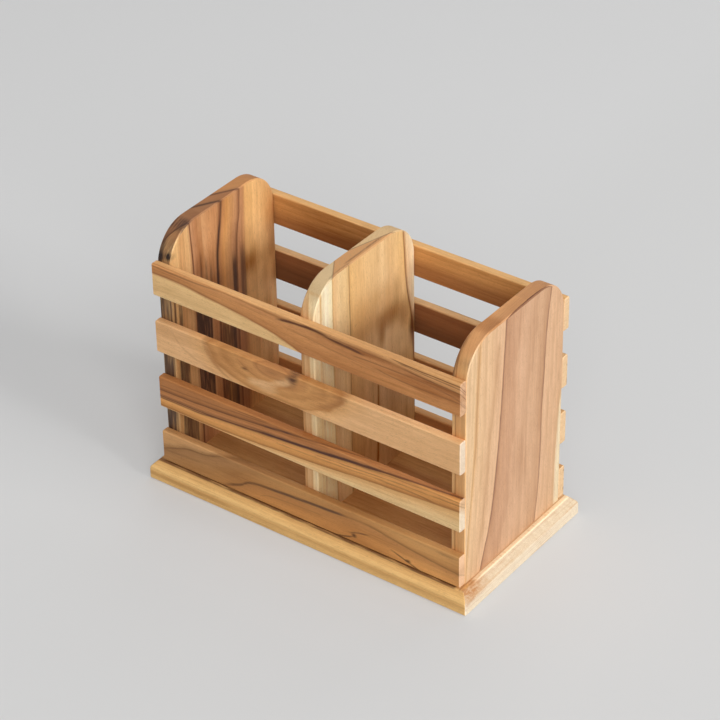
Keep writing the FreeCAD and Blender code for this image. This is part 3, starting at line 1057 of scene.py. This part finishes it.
slat_stains += streak_stains(along, down, line_tone, [
    ([(134, 22.0), (142, 20.0), (147, 18.0)], 1.0, 0.85),
    ([(145, 16.0), (148, 14.6), (152, 13.6), (158, 12.2)], 1.0, 0.80),
    ([(176, 16.0), (184, 18.5), (196, 22.4)], 1.0, 0.85),
    ([(76, 20.0), (82, 15.6), (96, 14.0), (124, 12.4)], 0.7, 0.25),
    ([(2, 14.0), (14, 13.0), (30, 12.4)], 1.5, 0.30),
])
slat_stains += [
    (oval(along, down, (147.5, 17), (2.8, 2.4)), 1.10, line_tone),
    (oval(along, down, (187, 18.8), (3.4, 1.8)), 1.10, line_tone),
    (oval(along, down, (214, 2.4), (10, 1.6)), 0.35, line_tone),
]
teak(wood, grain, side, slat_lines, slat_tones, [(0.0, 216, 170, 130)], rings=2.5,
     late_depth=0.06, shades=slat_shades, stains=slat_stains, end_axis=0)
wood.dress("front_slat_4")

# %% [markdown]
# ## Back slats
# The back slats come from browner boards. They are seen from inside through the compartments and
# from behind, so both faces need the same care. Inside, their lines are plain and run level. From
# outside they are flat sawn: the rings close to low arches round a crown, the place where the saw
# ran along the outside of a ring. One loop finishes all four, with a slope, a crown and tones for
# each slat.

# %% Finish the back slats
back_woods = {
    "back_slat_1": (0.02, 23.0, (218, 160, 96), (176, 120, 70), (242, 190, 126), 84.0),
    "back_slat_2": (-0.03, 29.0, (152, 100, 62), (128, 84, 52), (236, 192, 138), 150.0),
    "back_slat_3": (0.04, 31.0, (172, 118, 72), (146, 96, 58), (232, 182, 124), 60.0),
    "back_slat_4": (-0.02, 37.0, (204, 146, 92), (176, 122, 76), (226, 170, 110), 176.0),
}
crown_stretch = 4.6
crown_depth = 24.0
crown_drift = 60.0
crown_rings = [(7.5, 0.55), (12.0, 0.75), (16.5, 0.45), (22.0, 0.65), (29.0, 0.40)]
for node, (slope, seed, light, brown, top, crown) in back_woods.items():
    wood, grain, side = slat_wood(node, slant=0.0, seed=seed)
    along, down, inwards = grain
    climb = slope * slat_length / 2.0
    slat_lines = [
        -8.0,
        0.6,
        [(0, 7.0 + climb), (90, 8.0), (224, 7.0 - climb)],
        [(0, 16.0 + climb), (120, 15.0), (224, 17.0 - climb)],
        27.0,
    ]
    slat_tones = [(0.0, *top), (0.95, *top), (1.1, *light), (2.0, *light), (3.0, *brown)]
    inner_face = inwards.rise(2.0, 3.0) * down.rise(0.3, 0.9)
    left_share = along.fall(60.0, 116.0)
    compartment = left_share * along.rise(10.0, 50.0) * (1.0 if node == "back_slat_1" else 0.2)
    outer_face = inwards.fall(0.5, 2.0)
    behind_crown = oval(along, down, (slat_length - crown, 15.0), (70, 16))
    pale_spot = (170 - seed, 9)
    slat_shades = [
        # Painted shade: the inner face darkens across the left compartment, most on the first back
        # slat, and beside the divider.
        (inner_face * compartment, 0.34),
        (inner_face * window(along, 107.0, 117.0, 8.0), 0.14),
        (oval(along, down, pale_spot, (50, 9)), -0.08),
        (outer_face * behind_crown, -0.55 if max(brown) < 150 else -0.25),
    ]
    from_crown = (along - crown) / crown_stretch
    below_crown = side - crown_depth - slope * crown_drift
    arch = (from_crown * from_crown + below_crown * below_crown).root()
    slat_stains = []
    for radius, strength in crown_rings:
        ring_line = abs(arch - radius).fall(0.09, 0.9)
        slat_stains.append((outer_face * ring_line, strength, LINE_TONE))
    teak(wood, grain, side, slat_lines, slat_tones, [(0.0, 232, 196, 152)], rings=2.0,
         shades=slat_shades, stains=slat_stains, end_axis=0)
    wood.dress(node)

# %% [markdown]
# ## Base board
# The base is the palest board, a straight-grained golden one. Its ends are end grain, sanded
# smooth, with layered rings that run level from front to back. They look creamy in the window
# light, with a browner patch at the front right corner, and their chamfers are painted darker, as
# painted shade against the window light that they catch. A painted shadow line lies along the front
# edge where the slats' side meets the base, most of the top inside the caddy is darkened as painted
# shade, and the right foot of the end board has a pale rim.

# %% Finish the base board
wood = Finish("base_board_teak", seed=41.0)
x, y, z = wood.place()
lying = (x, y, z)
side = wavering(wood, lying, y + z * 0.6)
base_lines = [-66.0, -58.0, -50.0, -30.0, 4.0, 31.0, 55.0, 66.0]
base_tones = [
    (0.0, 250, 204, 134), (0.9, 246, 196, 124), (1.0, 242, 190, 118), (1.2, 248, 200, 130),
    (2.0, 228, 174, 106), (2.2, 236, 184, 116), (3.0, 204, 150, 94), (3.2, 224, 172, 110),
    (4.0, 206, 152, 94), (4.2, 230, 180, 116), (5.0, 208, 154, 96), (5.2, 232, 182, 118),
    (6.0, 226, 174, 110), (7.0, 246, 200, 132),
]
layers = wood.noise(y / 40.0, z / 0.8, x / 0.8, 2.0, 3.0)
patch = oval(y, z, (-56, 12), (30, 8))
base_end = wood.facing(0).rise(0.40, 0.62)
base_brown = tint(196, 142, 92)
painted_floor_shade = wood.facing(2).rise(0.85, 0.95) * y.rise(-56.0, -54.0)
base_shades = [
    # Painted shade: the chamfer on each end is darkened against the window light that it catches.
    (base_end * z.rise(8.0, 8.8), 0.26),
    (window(x, -124.0, -56.0, 5.0) * window(z, 3.4, 5.6, 0.8) * (1.0 - base_end), 0.22),
    # Painted shade: most of the base's top inside the caddy is darkened.
    (painted_floor_shade * z.rise(13.0, 13.5) * x.fall(111.0, 112.5), 0.28),
]
front_rim = z.rise(12.6, 13.3) * y.fall(-55.0, -54.0)
painted_gap_shadow = front_rim * (1.0 - base_end) * x.fall(108.0, 110.5)
right_foot = z.rise(12.8, 13.5) * x.rise(111.6, 112.4)
corner_mottle = wood.noise(y / 9.0, z / 2.6, x / 2.6, 4.0, 3.0)
brown_corner = y.fall(-50.0, -34.0) * corner_mottle.rise(0.34, 0.60)
base_stains = [
    (base_end * layers.rise(0.50, 0.66), 0.40, base_brown),
    (base_end * patch * (corner_mottle.rise(0.36, 0.58) * 0.6 + 0.4), 1.30, tint(186, 130, 82)),
    (right_foot * y.rise(-52.0, -40.0) * (layers * 0.8 + 0.6), 1.10, tint(252, 224, 184)),
    (right_foot * brown_corner, 1.10, tint(190, 136, 88)),
    (right_foot * x.fall(112.4, 113.2), 0.80, tint(186, 130, 82)),
    # Painted shadow: a dark line along the front where the lowest slat meets the base.
    (painted_gap_shadow, 0.95, tint(112, 70, 36)),
]
teak(wood, lying, side, base_lines, base_tones, [(0.0, 240, 222, 194)],
     shades=base_shades, stains=base_stains, end_axis=0, end_from=(0.40, 0.62))
wood.dress("base_board")

# %% [markdown]
# ## Screws and pins
# Six yellow zinc plated screws and forty-eight steel pins hold the caddy together. Both metals
# are dull from handling: a slow change in colour and roughness keeps them from looking new.

# %% Finish the metal
def plated(name, light, shade, roughness, seed):
    """Worn metal: two tones, with a grain of fine scratches in the roughness."""
    metal = Finish(name, seed)
    x, y, z = metal.place()
    cloud = metal.noise(x / 2.0, y / 2.0, z / 2.0, 0.0, 3.0)
    scratch = metal.noise(x / 0.15, y / 1.5, z / 0.15, 2.0)
    two_tones = metal.blend(cloud.rise(0.35, 0.65), tint(*light), tint(*shade))
    metal.feed(metal.surface.inputs["Base Color"], two_tones)
    metal.feed(metal.surface.inputs["Roughness"], scratch * 0.2 + (roughness - 0.1))
    metal.surface.inputs["Metallic"].default_value = 1.0
    return metal


yellow_zinc = plated("yellow_zinc", (226, 206, 150), (196, 168, 104), 0.34, 51.0)
pin_steel = plated("pin_steel", (205, 205, 205), (168, 168, 170), 0.38, 53.0)
pin_steel.dress("slat_pins")

# %% [markdown]
# Only the heads of the screws are seen, from below, but each is a whole countersunk wood screw. Its
# head is drawn first: a rim with a broken edge and a cross recess that narrows downwards. A round
# bar cut by a boolean would do too, but a few rings of points give cleaner faces.

# %% Draw a screw's head
screws_low, screws_high = faces_of("base_screws")
head_radius = 3.5
shank_radius = 1.75
screw_sides = 32
screw_length = screws_high[2] - screws_low[2]
screw = bmesh.new()


def screw_ring(height, radius_at):
    """A ring of points round the screw's axis, a height above the head's outer face."""
    ring = []
    for step in range(screw_sides):
        angle = 2.0 * math.pi * step / screw_sides
        radius = radius_at(angle)
        spot = Vector((radius * math.cos(angle), radius * math.sin(angle), screws_low[2] + height))
        ring.append(screw.verts.new(spot / MILLIMETRES))
    return ring


def skin(first, second):
    """Closes the gap between two rings of as many points."""
    count = len(first)
    for step in range(count):
        after = (step + 1) % count
        screw.faces.new((first[step], first[after], second[after], second[step]))


def cross_ring(height, reach, blade):
    """The twelve corners of the cross recess."""
    quarter = [(reach, -blade), (reach, blade), (blade, blade)]
    ring = []
    for turn_count in range(4):
        corner_turn = Matrix.Rotation(math.pi / 2.0 * turn_count, 3, "Z")
        for along_arm, beside_arm in quarter:
            spot = corner_turn @ Vector((along_arm, beside_arm, 0.0))
            spot.z = screws_low[2] + height
            ring.append(screw.verts.new(spot / MILLIMETRES))
    return ring


edge_break = 0.14
rim_radius = head_radius - edge_break
rim = [(0.0, rim_radius), (0.05, head_radius - 0.06), (edge_break, rim_radius)]
head_rings = [screw_ring(height, lambda angle, radius=radius: radius) for height, radius in rim]
mouth_reach, mouth_blade = 1.7, 0.4
foot_reach, foot_blade = 1.0, 0.28
recess_depth = 1.5
mouth = cross_ring(0.0, mouth_reach, mouth_blade)
foot = cross_ring(recess_depth, foot_reach, foot_blade)
skin(head_rings[0], head_rings[1])
skin(head_rings[1], head_rings[2])
skin(mouth, foot)
screw.faces.new(foot)
edges = []
for ring in (head_rings[0], mouth):
    for step in range(len(ring)):
        edges.append(screw.edges.get((ring[step - 1], ring[step])))
bmesh.ops.triangle_fill(screw, edges=edges, use_beauty=True)
print("head:", len(screw.faces), "faces")

# %% [markdown]
# The thread climbs round the shank as one ridge. On every ring of points the radius follows how
# far that point is from the ridge, so the rings stay level and the ridge still winds. The last
# five millimetres shrink to the point.

# %% Wind the thread
thread_pitch = 1.4
thread_core = 1.2
point_length = 5.0
smooth_length = 9.0
thread_crest = shank_radius - 0.03
blunt_share = 0.04


def thread_radius(height, angle):
    """Radius of the shank, with its thread, at a height and an angle."""
    turn_share = (height / thread_pitch - angle / (2.0 * math.pi)) % 1.0
    ridge = (1.0 - abs(2.0 * turn_share - 1.0)) ** 2.0
    taper = min(1.0, (screw_length - height) / point_length)
    return (thread_core + (thread_crest - thread_core) * ridge) * max(blunt_share, taper ** 0.8)


upper = head_rings[-1]
for height in (head_radius - shank_radius, smooth_length):
    ring = screw_ring(height, lambda angle: shank_radius - 0.02)
    skin(upper, ring)
    upper = ring
step_height = thread_pitch / 8.0
steps = int((screw_length - smooth_length) / step_height)
for step in range(1, steps + 1):
    height = smooth_length + step * (screw_length - smooth_length) / steps
    ring = screw_ring(height, lambda angle: thread_radius(height, angle))
    skin(upper, ring)
    upper = ring
screw.faces.new(upper)
bmesh.ops.recalc_face_normals(screw, faces=screw.faces)
screw_mesh = bpy.data.meshes.new("one_screw")
screw.to_mesh(screw_mesh)
screw.free()
print("one screw:", len(screw_mesh.polygons), "faces,", round(screw_length, 1), "mm long")

# %% [markdown]
# Two screws go up into each of the three upright boards, so the six stand on a grid of three by
# two. Geometry Nodes set the same screw on each point of that grid, and turn each one a little
# differently, because nobody stops a driver at the same angle twice.

# %% Draw the grid's diagram
grid_tree = bpy.data.node_groups.new("screw_grid", "GeometryNodeTree")
grid_length = screws_high[0] - screws_low[0] - 2.0 * head_radius
grid_depth = screws_high[1] - screws_low[1] - 2.0 * head_radius
grid_sockets = {
    "Screw": ("NodeSocketGeometry", None),
    "Length": ("NodeSocketFloat", grid_length / MILLIMETRES),
    "Depth": ("NodeSocketFloat", grid_depth / MILLIMETRES),
    "Boards": ("NodeSocketInt", 3),
    "Rows": ("NodeSocketInt", 2),
    "Seed": ("NodeSocketInt", 7),
    "Finish": ("NodeSocketMaterial", yellow_zinc.material),
}
asked = {}
for name, (kind, value) in grid_sockets.items():
    socket = grid_tree.interface.new_socket(name, in_out="INPUT", socket_type=kind)
    asked[socket.identifier] = value
grid_tree.interface.new_socket("Screws", in_out="OUTPUT", socket_type="NodeSocketGeometry")

grid = Diagram(grid_tree)
given = {name: grid.node("NodeGroupInput", {}, {}, name) for name in grid_sockets}
size = {"Size X": given["Length"], "Size Y": given["Depth"]}
size.update({"Vertices X": given["Boards"], "Vertices Y": given["Rows"]})
points = grid.node("GeometryNodeMeshGrid", {}, size)
draw = {2: 0.0, 3: math.pi / 2.0, 8: given["Seed"]}
chance = grid.node("FunctionNodeRandomValue", {"data_type": "FLOAT"}, draw, 1)
turned = grid.node("ShaderNodeCombineXYZ", {}, {2: chance})
set_on = {"Points": points, "Instance": given["Screw"], "Rotation": turned}
standing = grid.node("GeometryNodeInstanceOnPoints", {}, set_on)
real = grid.node("GeometryNodeRealizeInstances", {}, {0: standing})
finished = grid.node("GeometryNodeSetMaterial", {}, {"Geometry": real, "Material": given["Finish"]})
grid.node("NodeGroupOutput", {}, {"Screws": finished})

print("grid diagram:", len(grid_tree.nodes), "nodes")

# %% [markdown]
# The diagram works on a holder that has the one screw as its mesh. Its inputs are given before it
# is first evaluated, and the result becomes a plain mesh, so no modifier stays behind.

# %% Set the screws on their grid
holder = bpy.data.objects.new("screw_holder", screw_mesh)
scene.collection.objects.link(holder)
setting = holder.modifiers.new("screw_grid", "NODES")
setting.node_group = grid_tree
for identifier, value in asked.items():
    if value is not None:
        setting[identifier] = value
evaluated = holder.evaluated_get(bpy.context.evaluated_depsgraph_get())
zinc_mesh = bpy.data.meshes.new_from_object(evaluated)
bpy.data.objects.remove(holder)
zinc_screws = bpy.data.objects.new("zinc_screws", zinc_mesh)
scene.collection.objects.link(zinc_screws)
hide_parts("base_screws")
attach(zinc_screws, "root")
heights = [corner.co.z * MILLIMETRES for corner in zinc_mesh.vertices]
print("screws:", len(zinc_mesh.polygons), "faces")
print("they reach from", round(min(heights), 2), "to", round(max(heights), 2), "mm")
